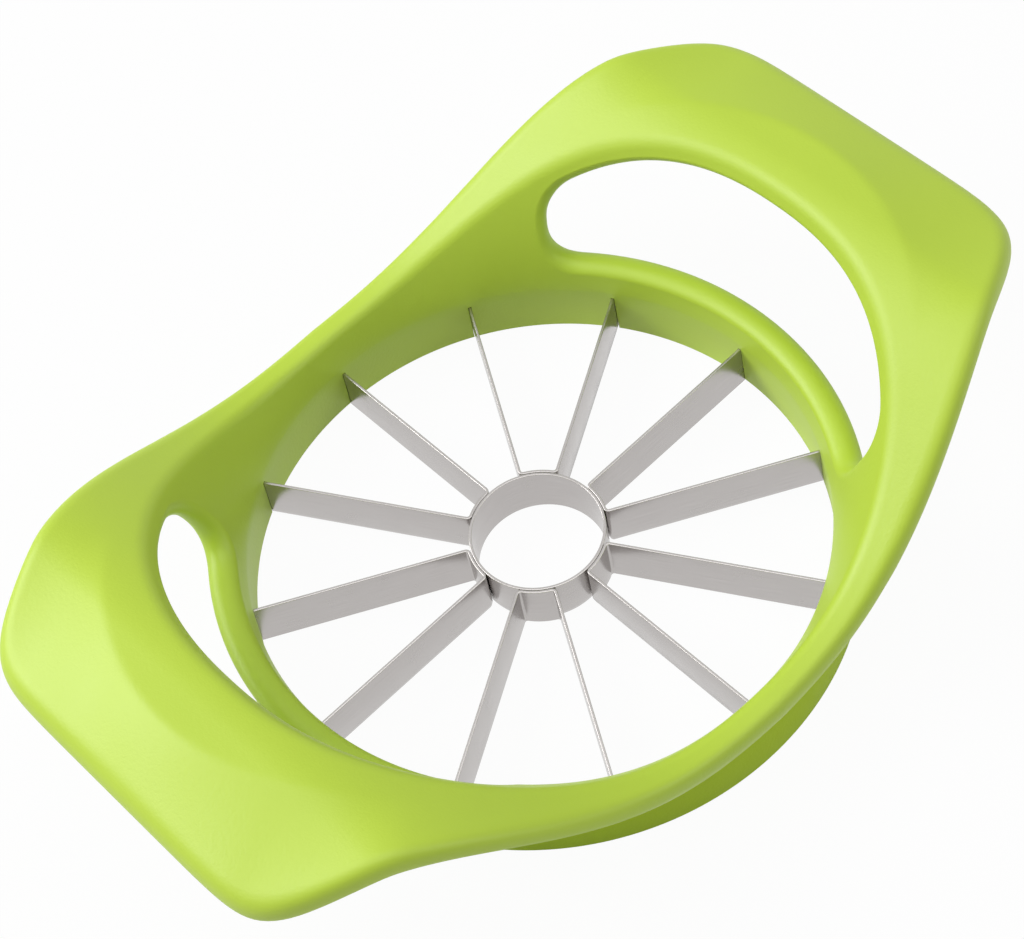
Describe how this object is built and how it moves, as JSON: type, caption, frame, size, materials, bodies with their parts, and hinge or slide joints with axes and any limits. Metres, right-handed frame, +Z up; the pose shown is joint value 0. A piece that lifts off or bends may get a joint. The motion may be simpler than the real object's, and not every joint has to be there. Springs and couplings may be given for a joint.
{
  "type": "apple slicer and wedger",
  "caption": "Hand-pressed fruit slicer: a moulded frame with two raised grips round a cutting ring of radial steel blades and a core ring.",
  "frame": {"origin": "centre of the cutting ring, on the plane that the ring stands on", "axes": "+X along the two grips, +Z up, against the pressing direction"},
  "size_m": [0.1708, 0.1138, 0.0436],
  "materials": {
    "lime_plastic": "satin moulded ABS",
    "brushed_steel": "brushed stainless steel"
  },
  "bodies": {
    "root": {"handle_frame": "lime_plastic", "blade_clamp_ring": "lime_plastic", "core_ring": "brushed_steel", "blade_strip_1": "brushed_steel", "blade_strip_2": "brushed_steel", "blade_strip_3": "brushed_steel", "blade_strip_4": "brushed_steel", "blade_strip_5": "brushed_steel", "blade_strip_6": "brushed_steel"}
  },
  "joints": []
}
